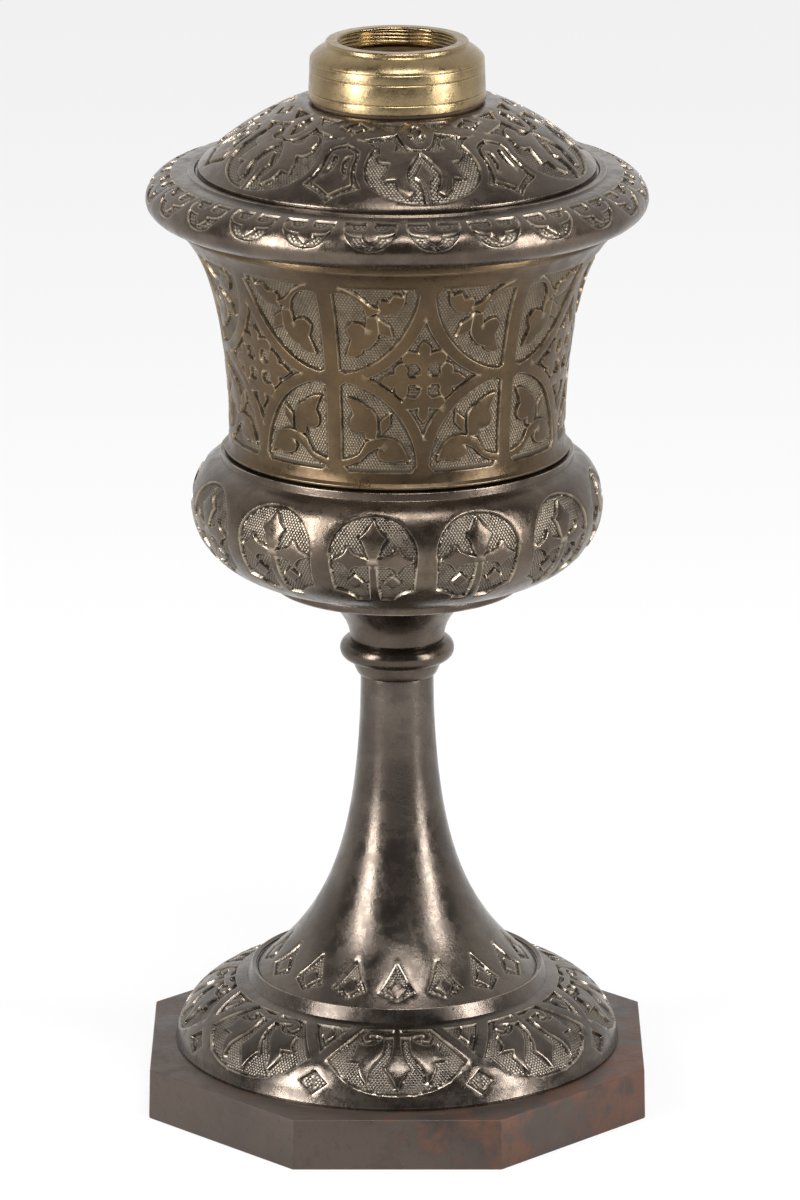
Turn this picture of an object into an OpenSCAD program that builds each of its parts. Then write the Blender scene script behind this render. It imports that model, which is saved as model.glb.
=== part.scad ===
// Kerosene table lamp: cast and patinated stand and urn, lift-out oil font, brass burner collar.
// The lamp stands on z = 0 with its axis on z. All sizes are in millimetres.

/* [Plinth] */
// Distance across the flats of the octagonal plinth, at its foot
plinth_flats = 134.4; // [126:0.2:160]
// Height of the plinth
plinth_h = 14; // [13:0.5:20]
// How far each corner leans in towards the top
plinth_draft = 0.35; // [0:0.05:1]
// Thickness of the plinth's side walls
plinth_wall = 4; // [3:0.5:6]
// Thickness of the plinth's top plate
plinth_plate = 4; // [3:0.5:4.5]
// Radius of the boss under the plate that takes the rod's washer
plinth_boss_r = 11; // [10:0.5:14]
// Depth of that boss
plinth_boss_h = 2.5; // [1:0.5:2.5]
// Height of the round register on the plinth that centres the foot
register_h = 1.2; // [0.8:0.1:2]

/* [Foot] */
// Largest radius of the domed foot
foot_r = 60.6; // [58:0.2:62]
// Height of the plain bead round the bottom of the foot
foot_bead_h = 0.9; // [0.5:0.1:1.5]
// How far that bead stands out from the dome
foot_bead_w = 0.4; // [0.2:0.1:0.8]
// Radius at which the dome's curve would become level
foot_crown_r = 34.8; // [33:0.2:37]
// Height of the dome's curve
foot_rise = 17.6; // [14:0.2:20]
// Wall of the foot
foot_wall = 3; // [2.5:0.1:4]
// Radius of the raised ring round the stem, at its top edge
ring_r = 39.6; // [39:0.1:41]
// Height of that ring's top edge above the level crown
ring_h = 3; // [2.5:0.1:5]
// How much wider the ring is at its bottom
ring_spread = 1.4; // [0.5:0.1:2]

/* [Stem] */
// Radius of the trumpet stem where it stands in the foot's ring
stem_foot_r = 38.2; // [36:0.1:38.4]
// Radius of the stem under the knop
stem_top_r = 9.85; // [9.5:0.05:11]
// Height of the trumpet
stem_h = 83.6; // [70:0.2:100]
// Wall of the stem at its top
stem_wall = 2.6; // [2:0.1:3]
// Wall of the stem at its foot, measured along the floor
stem_foot_wall = 3.4; // [3:0.1:4]
// Depth to which the stem stands below the top of the ring
stem_sink = 1; // [0.5:0.1:1.5]
// Radius of the spigots that enter the knop
spigot_r = 7; // [6:0.1:7.5]
// Length of each spigot
spigot_h = 4.6; // [3:0.1:4.8]

/* [Knop and neck] */
// Largest radius of the knop's roll
knop_r = 15.4; // [14.5:0.05:17]
// Half height of the knop's roll
roll_r = 3; // [2.5:0.1:3.6]
// Height of the small ovolo under the roll
ovolo_h = 4; // [4:0.2:6]
// Radius of the ovolo where it meets the roll
ovolo_r = 12.1; // [11.5:0.1:12.4]
// How far the ovolo stands out from the stem at its bottom
ovolo_lip = 0.6; // [0.3:0.1:1]
// Radius of the neck where it leaves the knop
neck_low_r = 12.7; // [12:0.05:13.5]
// Radius of the neck under the plate
neck_top_r = 24.5; // [20:0.5:28]
// Height of the neck
neck_h = 15.3; // [12:0.1:20]
// Wall of the neck
neck_wall = 3; // [2:0.5:4]
// Thickness of the neck's floor, over its spigot
neck_floor = 3; // [2:0.5:5]
// Radius of the plate under the bowl
plate_r = 33.5; // [31:0.5:40]
// Thickness of that plate
plate_h = 2.5; // [2:0.1:4]
// Rounding of the plate's edge
plate_edge = 0.5; // [0.2:0.1:0.9]

/* [Bowl] */
// Largest radius of the bowl
bowl_r = 55.2; // [53:0.2:58]
// Height of the bowl below its widest place
bowl_low_h = 20.2; // [18:0.2:24]
// Height of the bowl above its widest place
bowl_high_h = 12.5; // [11:0.1:15]
// Radius at which the bowl's underside would become level
bowl_floor_r = 30; // [28:0.5:31]
// Wall of the bowl
bowl_wall = 2.6; // [2:0.1:3]
// Thickness of the bowl's floor
bowl_floor = 3; // [2.5:0.1:4]
// Radius of the ring round the mouth of the bowl
bowl_ring_r = 47.3; // [46.8:0.1:48.5]
// Height of that ring
bowl_ring_h = 2.3; // [1.8:0.1:3]
// Width of the ledge in the bowl that carries the drum, and of the drum's flange on it
ledge_w = 5; // [5:0.1:6]
// Thickness of that ledge
ledge_h = 1.5; // [1.2:0.1:2]

/* [Drum] */
// Smallest radius of the drum
drum_r = 45; // [44.6:0.1:45.4]
// Height of the drum from the groove over the bowl to its mouth
drum_h = 63; // [55:0.5:80]
// How much the drum flares out at its mouth
drum_flare = 13.2; // [12.6:0.1:14]
// Height of the drum's plain foot, below the flare
drum_foot_h = 6; // [5:0.2:8]
// How much the bead round the drum's foot stands out
drum_bead = 1.2; // [0.8:0.1:1.6]
// Wall of the drum
drum_wall = 2.3; // [2:0.1:2.6]
// Thickness of the drum's flange
drum_flange_h = 2.5; // [2.2:0.1:3]
// Height of the plain lip round the drum's mouth
drum_lip_h = 1.9; // [1.6:0.1:3]
// Width of the notch in the lip that takes the locating pin
notch_w = 2.2; // [1.8:0.1:3]
// Angle from the tracery's middle to that notch, in degrees
notch_turn = 33; // [25:1:40]
// How far the urn's tracery is turned from the plinth's front, in degrees
urn_turn = 8.7; // [-30:0.1:30]

/* [Cover] */
// Largest radius of the rolled rim
rim_r = 66.7; // [64:0.1:70]
// Height of the rim from the drum's mouth to its crest
rim_h = 12.9; // [12:0.1:15]
// Height of the widest place of the roll above the drum's mouth
rim_belly_h = 5.6; // [5:0.1:6.5]
// Radius of the rim's crest
rim_crest_r = 57.3; // [56.8:0.1:59]
// Wall of the rolled rim
rim_wall = 2.4; // [2:0.1:3]
// Radius of the middle of the bead inside the rim's crest
rim_bead_r = 54.6; // [54.2:0.1:54.8]
// Width of that bead
rim_bead_w = 2; // [1:0.1:2.2]
// Height of that bead
rim_bead_h = 0.65; // [0.4:0.05:1]
// Radius at the bottom of the domed cover
dome_r = 52.4; // [52:0.1:52.8]
// Height of the dome above its own fillet
dome_h = 16.8; // [13:0.1:20]
// Radius of the level seat at the top of the dome
dome_seat_r = 26.4; // [25.4:0.1:29]
// Height of the plain fillet round the bottom of the dome
dome_fillet_h = 2; // [1.5:0.1:3]
// Wall of the dome
dome_wall = 2.2; // [2:0.1:3]
// Width of the ledge in the rim that carries the dome
rim_ledge_w = 5; // [5:0.1:6]
// Depth of the spigot that centres the cover in the drum
cover_spigot_h = 3.5; // [2.6:0.1:5]
// Thickness of that spigot
cover_spigot_w = 2.2; // [1.6:0.1:2.6]

/* [Collar] */
// Radius of the collar's band at its foot
collar_r = 23.5; // [22.9:0.1:25]
// How much narrower the band is at its top
collar_taper = 0.4; // [0:0.05:0.6]
// Height of the whole collar
collar_h = 15.5; // [14.8:0.1:18]
// Height of the collar's band, below its shoulder
collar_band_h = 10.5; // [9.8:0.1:11]
// Height of the lower scribed line above the collar's foot
scribe_low = 2.4; // [1.5:0.1:4]
// Height of the upper scribed line above the collar's foot
scribe_high = 7.8; // [6:0.1:9]
// Depth of the scribed lines
scribe_d = 0.25; // [0.1:0.05:0.4]
// Radius of the lip round the mouth
lip_r = 18.9; // [18.2:0.1:19.5]
// Height of the lip, above the shoulder
lip_h = 1.3; // [1:0.1:2]
// Radius of the small cove under the lip
cove_r = 0.7; // [0.4:0.1:0.9]
// Radius of the mouth that takes the burner
mouth_r = 15.7; // [15:0.05:16.5]
// Depth of the mouth's wall
mouth_h = 4.6; // [4:0.1:5]
// Radius of the bore that screws onto the font's neck
neck_bore_r = 19.5; // [19:0.05:20]
// Height left free between the font's neck and the collar's land
neck_gap = 0.9; // [0.5:0.1:1.5]
// Thickness of the leather washer under the collar
washer_h = 0.9; // [0.6:0.1:1.5]
// Radius of the leather washer
washer_r = 22.6; // [21.5:0.1:22.7]

/* [Font] */
// Depth of the font below the drum's mouth
font_depth = 84; // [60:0.5:86]
// Thickness of the font's sheet metal
sheet = 0.9; // [0.6:0.1:1.2]
// Height of the font's wall above the drum's mouth
font_rise = 12; // [9:0.2:12.4]
// How far the seam at the font's foot stands out
seam_w = 0.5; // [0.3:0.1:0.8]
// Height of that seam
seam_h = 1.2; // [0.8:0.1:2]
// How much the font's floor is dished
font_dish = 2; // [1:0.1:3]
// Wall of the font's threaded neck
font_neck_wall = 3.4; // [2.5:0.1:4]
// Width of the lip inside the top of that neck
neck_lip_w = 3.7; // [2:0.1:5]
// Width of the flange that the dome's edge is clamped on
font_flange_w = 4.6; // [3:0.1:5]
// Thickness of that flange
font_flange_h = 1.6; // [1.2:0.1:2]

/* [Fasteners] */
// Radius of the iron rod that ties the stand together
rod_r = 3.2; // [2.5:0.1:4]
// Length of the rod that shows past each nut
rod_tail = 0.6; // [0.2:0.1:0.8]
// Height of the rod's nuts
nut_h = 4.6; // [3.5:0.1:4.6]
// Width of the rod's nuts across their flats
nut_flats = 11.1; // [10.5:0.1:13]
// Radius of the rod's washers
rod_washer_r = 9; // [8:0.5:10]
// Thickness of the rod's washers
rod_washer_h = 1.5; // [1:0.1:1.6]
// Radius of the small machine screws' heads
screw_head_r = 2.4; // [2:0.1:2.5]
// Height of those heads
screw_head_h = 1.4; // [1:0.1:2]
// Radius of the small machine screws
screw_r = 1.1; // [0.9:0.1:1.3]
// How far the screws enter the flange above
screw_grip = 2; // [1.5:0.1:2]
// Number of small screws in each ring
screw_count = 3; // [3:1:6]

/* [Fits] */
// Clearance round pieces that stand or lift
fit = 0.3; // [0.2:0.05:0.4]
// Clearance of spigots and of shanks in their holes
snug = 0.1; // [0.05:0.01:0.15]
// Radial clearance of the collar on the font's neck
thread_fit = 0.06; // [0.03:0.01:0.1]
// Gap between the font's seam and the drum's flange
font_gap = 0.8; // [0.6:0.1:2]

/* [Hidden] */
$fn = 96;
sides = 8;
face_turn = 180 / sides;
over = 1;
steps = 14;
chamfer = 0.4;

// Heights of the joints between the pieces, from the floor up
foot_z = plinth_h;
crown_z = foot_z + foot_bead_h + foot_rise;
ring_z = crown_z + ring_h;
stem_z = ring_z - stem_sink;
knop_z = stem_z + stem_h;
neck_z = knop_z + ovolo_h + 2 * roll_r;
plate_z = neck_z + neck_h;
bowl_z = plate_z + plate_h;
bowl_floor_z = bowl_z + bowl_floor;
belly_z = bowl_z + bowl_low_h;
ring_low_z = belly_z + bowl_high_h;
ledge_z = ring_low_z - bowl_wall;
drum_z = ring_low_z + bowl_ring_h;
mouth_z = drum_z + drum_h;
crest_z = mouth_z + rim_h;
dome_z = crest_z + dome_fillet_h;
seat_z = dome_z + dome_h;
flange_z = seat_z - dome_wall;
collar_z = seat_z + washer_h;
lip_z = collar_z + collar_h;
land_z = lip_z - mouth_h;
font_low_z = mouth_z - font_depth;
font_top_z = mouth_z + font_rise;
boss_z = plinth_h - plinth_plate - plinth_boss_h;

// Radii that follow from the pieces that they meet
plinth_r = plinth_flats / 2 / cos(face_turn);
register_r = foot_r - 1.5 * foot_wall - fit;
rod_hole_r = rod_r + fit;
stem_seat_r = stem_foot_r - stem_foot_wall - 2 * chamfer;
knop_bore_r = spigot_r + snug;
drum_spigot_r = bowl_ring_r - bowl_wall - fit;
flange_in_r = drum_spigot_r - ledge_w;
drum_screw_r = drum_spigot_r - ledge_w / 2;
rim_ledge_r = dome_r - rim_ledge_w;
rim_screw_r = dome_r - rim_ledge_w / 2;
font_r = flange_in_r - font_gap - seam_w;
font_neck_r = neck_bore_r - thread_fit;
font_flange_r = font_neck_r + font_flange_w;

// A quarter ellipse or a part of it, between the angles from and to
function quarter(r0, z0, a, b, from, to) =
    [for (i = [0 : steps]) let (u = from + (to - from) * i / steps) [r0 + a * cos(u), z0 + b * sin(u)]];

// The same points from the last to the first
function backwards(p) = [for (i = [len(p) - 1 : -1 : 0]) p[i]];

// A body of revolution from its outline in radius and height
module turned(outline) {
    rotate_extrude() polygon(outline);
}

module bore(r, low, high) {
    translate([0, 0, low]) cylinder(r = r, h = high - low);
}

// A ring of revolution with a square section
module band(r_in, r_out, low, high) {
    difference() {
        bore(r_out, low, high);
        bore(r_in, low - over, high + over);
    }
}

// Children repeated round the axis on a ring
module ring_of(count, r, turn = 0) {
    for (i = [0 : count - 1])
        rotate([0, 0, turn + i * 360 / count]) translate([r, 0, 0]) children();
}

// Octagonal casting, open underneath, with a boss for the rod and a register for the foot
module plinth() color("#3a322b") {
    plate_low = plinth_h - plinth_plate;
    difference() {
        union() {
            difference() {
                rotate([0, 0, face_turn])
                    cylinder(r1 = plinth_r, r2 = plinth_r - plinth_draft, h = plinth_h, $fn = sides);
                translate([0, 0, -over]) rotate([0, 0, face_turn])
                    cylinder(r = plinth_r - plinth_wall / cos(face_turn), h = plate_low + over, $fn = sides);
            }
            bore(register_r, plinth_h - over, plinth_h + register_h);
            bore(plinth_boss_r, boss_z, plinth_h);
        }
        bore(rod_hole_r, -over, plinth_h + register_h + over);
    }
}

// Outline of the foot from its bottom edge to the top of its ring
dome_a = foot_r - foot_bead_w - foot_crown_r;
function foot_outline() = concat(
    [[foot_r, foot_z], [foot_r, foot_z + foot_bead_h]],
    quarter(foot_crown_r, foot_z + foot_bead_h, dome_a, foot_rise, 4,
            acos((ring_r + ring_spread - foot_crown_r) / dome_a)),
    [[ring_r + ring_spread, crown_z - chamfer], [ring_r, ring_z]]);

// Domed casting with a raised ring that the stem stands in
module foot() color("#3d3833") {
    inner_r = foot_r - 1.5 * foot_wall;
    inner_z = crown_z - 0.9 * foot_wall;
    turned(concat(
        foot_outline(),
        [[stem_foot_r + fit, ring_z - chamfer], [stem_foot_r + fit, stem_z], [stem_seat_r, stem_z],
         [stem_seat_r, inner_z]],
        backwards(quarter(stem_seat_r, foot_z, inner_r - stem_seat_r, inner_z - foot_z, 0, 88))));
}

// Outline of the trumpet from its foot to its top
function trumpet(r_foot, r_top, z, h) =
    [for (i = [0 : 2 * steps])
        let (t = 1 - i / (2 * steps))
        [r_top + (r_foot - r_top) * (0.45 * pow(t, 2) + 0.55 * pow(t, 5)), z + h * (1 - t)]];

// Hollow trumpet-shaped casting with a spigot on top for the knop
module stem() color("#45403b") {
    turned(concat(
        trumpet(stem_foot_r, stem_top_r, stem_z, stem_h),
        [[spigot_r, knop_z], [spigot_r, knop_z + spigot_h], [rod_hole_r, knop_z + spigot_h],
         [rod_hole_r, knop_z - stem_wall]],
        backwards(trumpet(stem_foot_r - stem_foot_wall, stem_top_r - stem_wall, stem_z,
                          stem_h - stem_wall))));
}

// Turned ring with a round roll and a small ovolo under it
module knop() color("#3a3836") {
    roll_z = knop_z + ovolo_h + roll_r;
    low_r = stem_top_r + ovolo_lip;
    difference() {
        union() {
            turned(concat(
                [[0, knop_z], [low_r - chamfer / 2, knop_z]],
                [for (i = [0 : steps]) let (t = i / steps)
                    [low_r + (ovolo_r - low_r) * pow(t, 0.7), knop_z + chamfer + (ovolo_h - chamfer) * t]],
                [[ovolo_r, knop_z + ovolo_h + chamfer], [0, knop_z + ovolo_h + chamfer]]));
            rotate_extrude() translate([knop_r - roll_r, roll_z]) circle(r = roll_r);
            bore(knop_r - roll_r, knop_z + ovolo_h, neck_z);
        }
        bore(knop_bore_r, knop_z - over, neck_z + over);
    }
}

// Outline of the cove from the knop up to the plate
function cove(r_low, r_top, z, h) =
    [for (i = [0 : steps]) let (t = i / steps) [r_low + (r_top - r_low) * pow(t, 2), z + h * t]];

// Coved socket under the bowl, hollow above, with a spigot for the knop
module neck() color("#4a4335") {
    hollow_z = neck_z + neck_floor;
    turned(concat(
        [[rod_hole_r, neck_z - spigot_h], [spigot_r, neck_z - spigot_h], [spigot_r, neck_z]],
        cove(neck_low_r, neck_top_r, neck_z, neck_h),
        backwards(cove(neck_low_r - neck_wall, neck_top_r - neck_wall, hollow_z, plate_z - hollow_z)),
        [[rod_hole_r, hollow_z]]));
}

// Thin turned plate between the neck and the bowl
module bowl_plate() color("#45423f") {
    turned([[rod_hole_r, plate_z], [plate_r - plate_edge, plate_z], [plate_r, plate_z + plate_edge],
            [plate_r - plate_edge, bowl_z], [rod_hole_r, bowl_z]]);
}

// Outline of the bowl from the plate up to the ring round its mouth, drawn in by t
bowl_top_r = bowl_ring_r - 0.5;
function bowl_outline(t = 0) = concat(
    quarter(bowl_floor_r, belly_z, bowl_r - bowl_floor_r - t, -bowl_low_h + t, 88, 0),
    quarter(bowl_top_r, belly_z, bowl_r - bowl_top_r - t, bowl_high_h - t, 6, 84));

// Bulbous casting with a ring round its mouth and a ledge that carries the drum
module bowl() color("#453a2e") {
    ledge_low = ledge_z - ledge_h;
    inner = [for (p = bowl_outline(bowl_wall)) if (p[1] > bowl_floor_z && p[1] < ledge_low) p];
    difference() {
        turned(concat(
            [[rod_hole_r, bowl_z]],
            bowl_outline(),
            [[bowl_ring_r, ring_low_z], [bowl_ring_r, drum_z - chamfer], [bowl_ring_r - chamfer, drum_z],
             [drum_spigot_r + fit, drum_z], [drum_spigot_r + fit, ledge_z], [flange_in_r, ledge_z],
             [flange_in_r, ledge_low], [inner[len(inner) - 1][0], ledge_low]],
            backwards(inner),
            [[inner[0][0] - 1, bowl_floor_z], [rod_hole_r, bowl_floor_z]]));
        ring_of(screw_count, drum_screw_r, urn_turn) bore(screw_r + 2 * snug, ledge_low - over, drum_z);
    }
}

// How far the drum's wall has flared at share t of its height
function flared(t) = drum_flare * (0.66 * pow(t, 2) + 0.34 * pow(t, 8));
flare_z = drum_z + drum_foot_h;
flare_h = drum_h - drum_foot_h - drum_lip_h;
function flare(r) =
    [for (i = [0 : 2 * steps]) let (t = i / (2 * steps)) [r + flared(t), flare_z + flare_h * t]];

// Flared casting with a bead at its foot, a lip at its mouth and a flange for its screws
module drum() color("#5a4a30") {
    lip_out = drum_r + drum_flare + chamfer / 2;
    inner_r = drum_r - drum_wall;
    flange_top = ledge_z + drum_flange_h;
    difference() {
        turned(concat(
            [[flange_in_r, ledge_z], [drum_spigot_r, ledge_z], [drum_spigot_r, drum_z],
             [drum_r + chamfer / 2, drum_z], [drum_r + chamfer / 2, drum_z + chamfer],
             [drum_r + drum_bead - chamfer, drum_z + chamfer],
             [drum_r + drum_bead, drum_z + 2 * chamfer], [drum_r + drum_bead, drum_z + 3 * chamfer],
             [drum_r + drum_bead - chamfer, drum_z + 4 * chamfer], [drum_r + chamfer, drum_z + 5 * chamfer]],
            flare(drum_r),
            [[lip_out, mouth_z - drum_lip_h + chamfer], [lip_out, mouth_z - chamfer],
             [lip_out - chamfer, mouth_z], [inner_r + drum_flare, mouth_z]],
            backwards(flare(inner_r)),
            [[inner_r, flange_top], [flange_in_r, flange_top]]));
        ring_of(screw_count, drum_screw_r, urn_turn) bore(screw_r, ledge_z - over, ledge_z + screw_grip);
        rotate([0, 0, urn_turn + notch_turn])
            translate([inner_r + drum_flare - over, -notch_w / 2, mouth_z - drum_lip_h + chamfer])
                cube([drum_wall + 3 * over, notch_w, drum_lip_h]);
    }
}

// A slotted machine screw, head down, with its shank up from z
module screw(z, shank_h) {
    slot_w = 0.6;
    slot_d = 0.5;
    difference() {
        bore(screw_head_r, z - screw_head_h, z);
        translate([-screw_head_r - over, -slot_w / 2, z - screw_head_h - over])
            cube([2 * (screw_head_r + over), slot_w, over + slot_d]);
    }
    bore(screw_r, z, z + shank_h);
}

// Screws up through the bowl's ledge into the drum's flange
module drum_screws() color("#8a7a55") {
    ring_of(screw_count, drum_screw_r, urn_turn) screw(ledge_z - ledge_h, ledge_h + screw_grip);
}

// Iron rod from the plinth's boss to the floor of the bowl
module tie_rod() color("#4c4a48") {
    low = boss_z - rod_washer_h - nut_h - rod_tail;
    high = bowl_floor_z + rod_washer_h + nut_h + rod_tail;
    turned([[0, low], [rod_r - chamfer, low], [rod_r, low + chamfer], [rod_r, high - chamfer],
            [rod_r - chamfer, high], [0, high]]);
}

module rod_washer(z) {
    band(rod_r + snug, rod_washer_r, z, z + rod_washer_h);
}

// Hexagonal nut with the corners of its free end turned off
module rod_nut(z, free_end) {
    corner_r = nut_flats / 2 / cos(30);
    bevel = 3 * chamfer;
    low = free_end > 0 ? z : z + nut_h;
    high = free_end > 0 ? z + nut_h : z;
    difference() {
        intersection() {
            translate([0, 0, z]) cylinder(r = corner_r, h = nut_h, $fn = 6);
            turned([[0, low], [corner_r + over, low], [corner_r + over, high - free_end * bevel],
                    [nut_flats / 2 - chamfer, high], [0, high]]);
        }
        bore(rod_r + thread_fit, z - over, z + nut_h + over);
    }
}

module lower_washer() color("#55524e") rod_washer(boss_z - rod_washer_h);
module lower_nut() color("#55524e") rotate([0, 0, 20]) rod_nut(boss_z - rod_washer_h - nut_h, -1);
module upper_washer() color("#55524e") rod_washer(bowl_floor_z);
module upper_nut() color("#55524e") rod_nut(bowl_floor_z + rod_washer_h, 1);

// Outline of the rim's roll from its underside up to its crest, drawn in by t
rim_belly_z = mouth_z + rim_belly_h;
rim_under_r = rim_crest_r + 2;
function roll(t = 0) = concat(
    quarter(rim_under_r, rim_belly_z, rim_r - rim_under_r - t, rim_belly_h - chamfer - t, -86, 0),
    quarter(rim_crest_r, rim_belly_z, rim_r - rim_crest_r - t, rim_h - rim_belly_h - t, 6, 90));

// Rolled hollow ring that rests on the drum's mouth and carries the dome
module cover_rim() color("#4a4541") {
    spigot_share = 1 - (cover_spigot_h - drum_lip_h) / flare_h;
    spigot_out = drum_r - drum_wall + flared(spigot_share) - fit;
    spigot_in = spigot_out - cover_spigot_w;
    groove_z = crest_z - chamfer / 2;
    bead_in = rim_bead_r - rim_bead_w / 2;
    bead_out = rim_bead_r + rim_bead_w / 2;
    difference() {
        turned(concat(
            [[spigot_in, mouth_z - cover_spigot_h], [spigot_out - chamfer, mouth_z - cover_spigot_h],
             [spigot_out, mouth_z - cover_spigot_h + chamfer], [spigot_out, mouth_z],
             [rim_under_r - chamfer, mouth_z]],
            roll(),
            [[bead_out + chamfer, groove_z], [bead_out, groove_z], [bead_out - chamfer / 2, crest_z + rim_bead_h],
             [bead_in + chamfer / 2, crest_z + rim_bead_h], [bead_in, crest_z], [rim_ledge_r, crest_z],
             [rim_ledge_r, crest_z - rim_wall]],
            backwards(roll(rim_wall)),
            [[spigot_in, mouth_z + rim_wall]]));
        ring_of(screw_count, rim_screw_r, urn_turn)
            bore(screw_r + 2 * snug, crest_z - rim_wall - over, crest_z + over);
    }
}

// Centre height and radius of the sphere that the dome is part of
sphere_drop = (pow(dome_r, 2) - pow(dome_seat_r, 2) - pow(dome_h, 2)) / (2 * dome_h);
sphere_r = norm([dome_r, sphere_drop]);
sphere_z = dome_z - sphere_drop;

// Points on the dome's sphere, drawn in by t, from radius a to radius b
function cap(a, b, t = 0) =
    [for (i = [0 : 2 * steps])
        let (r = a + (b - a) * i / (2 * steps))
        [r, sphere_z + sqrt(pow(sphere_r - t, 2) - pow(r, 2))]];

// Domed cover with a level seat for the collar and a flange for its screws
module cover_dome() color("#4b4744") {
    hole_r = font_neck_r + fit;
    difference() {
        turned(concat(
            [[rim_ledge_r, crest_z], [dome_r + chamfer, crest_z], [dome_r + chamfer, dome_z - 1.5 * chamfer],
             [dome_r, dome_z]],
            cap(dome_r - chamfer, dome_seat_r),
            [[dome_seat_r - chamfer / 2, seat_z], [hole_r, seat_z], [hole_r, flange_z],
             [font_flange_r + chamfer, flange_z]],
            [for (p = cap(font_flange_r + chamfer, rim_ledge_r, dome_wall)) if (p[1] < flange_z) p]));
        ring_of(screw_count, rim_screw_r, urn_turn) bore(screw_r, crest_z - over, crest_z + screw_grip);
    }
}

// Screws up through the rim's ledge into the dome's flange
module rim_screws() color("#8a7a55") {
    ring_of(screw_count, rim_screw_r, urn_turn) screw(crest_z - rim_wall, rim_wall + screw_grip);
}

// Small pin under the rim that drops into the notch in the drum's lip
module locating_pin() color("#9a8a62") {
    pin_r = notch_w / 2 - fit;
    pin_h = drum_lip_h - 2 * chamfer;
    rotate([0, 0, urn_turn + notch_turn]) translate([drum_r + drum_flare - pin_r, 0, mouth_z - pin_h])
        cylinder(r = pin_r, h = pin_h, $fn = 24);
}

// Threaded neck with a flange that is soldered to the font's shoulder
module font_neck() color("#8c7a4a") {
    top_z = land_z - neck_gap;
    in_r = font_neck_r - font_neck_wall;
    lip_in_r = in_r - neck_lip_w;
    turned([[in_r, flange_z - font_flange_h], [font_flange_r, flange_z - font_flange_h],
            [font_flange_r, flange_z], [font_neck_r, flange_z], [font_neck_r, top_z - chamfer],
            [font_neck_r - chamfer, top_z], [lip_in_r, top_z], [lip_in_r, top_z - 2 * chamfer],
            [in_r, top_z - 4 * chamfer]]);
}

// Spun shoulder from the top of the font's wall up to the neck's flange
module font_shoulder() color("#8a8274") {
    top_z = flange_z - font_flange_h;
    hole_r = font_neck_r - font_neck_wall;
    turned([[font_r - sheet, font_top_z], [font_r, font_top_z], [font_flange_r, top_z],
            [hole_r, top_z], [hole_r, top_z - sheet], [font_flange_r - sheet / 2, top_z - sheet]]);
}

// Straight sheet-metal wall of the font, with a rolled seam at its foot
module font_wall() color("#8a8274") {
    seam_z = font_low_z + sheet;
    turned([[font_r - sheet, font_low_z], [font_r, font_low_z], [font_r, seam_z],
            [font_r + seam_w, seam_z + seam_w], [font_r + seam_w, seam_z + seam_w + seam_h],
            [font_r, seam_z + 2 * seam_w + seam_h], [font_r, font_top_z], [font_r - sheet, font_top_z]]);
}

// Dished floor of the font
module font_floor() color("#8a8274") {
    wall_in = font_r - sheet;
    rim = 4;
    turned([[0, font_low_z + font_dish], [wall_in - rim - font_dish, font_low_z + font_dish],
            [wall_in - rim, font_low_z], [wall_in, font_low_z], [wall_in, font_low_z + sheet],
            [wall_in - rim + sheet / 3, font_low_z + sheet],
            [wall_in - rim - font_dish + sheet / 3, font_low_z + font_dish + sheet],
            [0, font_low_z + font_dish + sheet]]);
}

// Radius of the collar's band at height h above its foot, and the scribed line there
function band_r(h) = collar_r - collar_taper * h / collar_band_h;
function scribe(h) = [[band_r(h), collar_z + h - scribe_d], [band_r(h) - scribe_d, collar_z + h],
                      [band_r(h), collar_z + h + scribe_d]];

// Brass collar: a tapered band, a round shoulder, a lip, and the two bores
module collar() color("#8f7a45") {
    shoulder_z = collar_z + collar_band_h;
    shoulder_h = collar_h - collar_band_h - lip_h - cove_r / 2;
    top_r = collar_r - collar_taper;
    shoulder_w = top_r - lip_r - cove_r;
    turned(concat(
        [[neck_bore_r, collar_z], [collar_r - chamfer / 2, collar_z], [collar_r, collar_z + chamfer / 2]],
        scribe(scribe_low),
        scribe(scribe_high),
        scribe(collar_band_h),
        [for (i = [1 : steps]) let (t = i / steps)
            [top_r - shoulder_w * t, shoulder_z + shoulder_h * (0.55 * t + 0.45 * sin(acos(1 - t)))]],
        [[lip_r + cove_r / 3, lip_z - lip_h - cove_r / 6], [lip_r, lip_z - lip_h + cove_r / 3],
         [lip_r, lip_z - chamfer], [lip_r - chamfer, lip_z], [mouth_r + chamfer, lip_z],
         [mouth_r, lip_z - chamfer], [mouth_r, land_z], [neck_bore_r, land_z]]));
}

// Leather washer held under the collar
module collar_washer() color("#3b2a1c") {
    band(font_neck_r + fit, washer_r, seat_z, collar_z);
}

plinth();
foot();
stem();
knop();
neck();
bowl_plate();
bowl();
drum();
drum_screws();
tie_rod();
lower_washer();
lower_nut();
upper_washer();
upper_nut();
cover_rim();
cover_dome();
rim_screws();
locating_pin();
font_neck();
font_shoulder();
font_wall();
font_floor();
collar();
collar_washer();
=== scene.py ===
import math

import bpy
import numpy as np
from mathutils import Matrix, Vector, geometry


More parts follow.
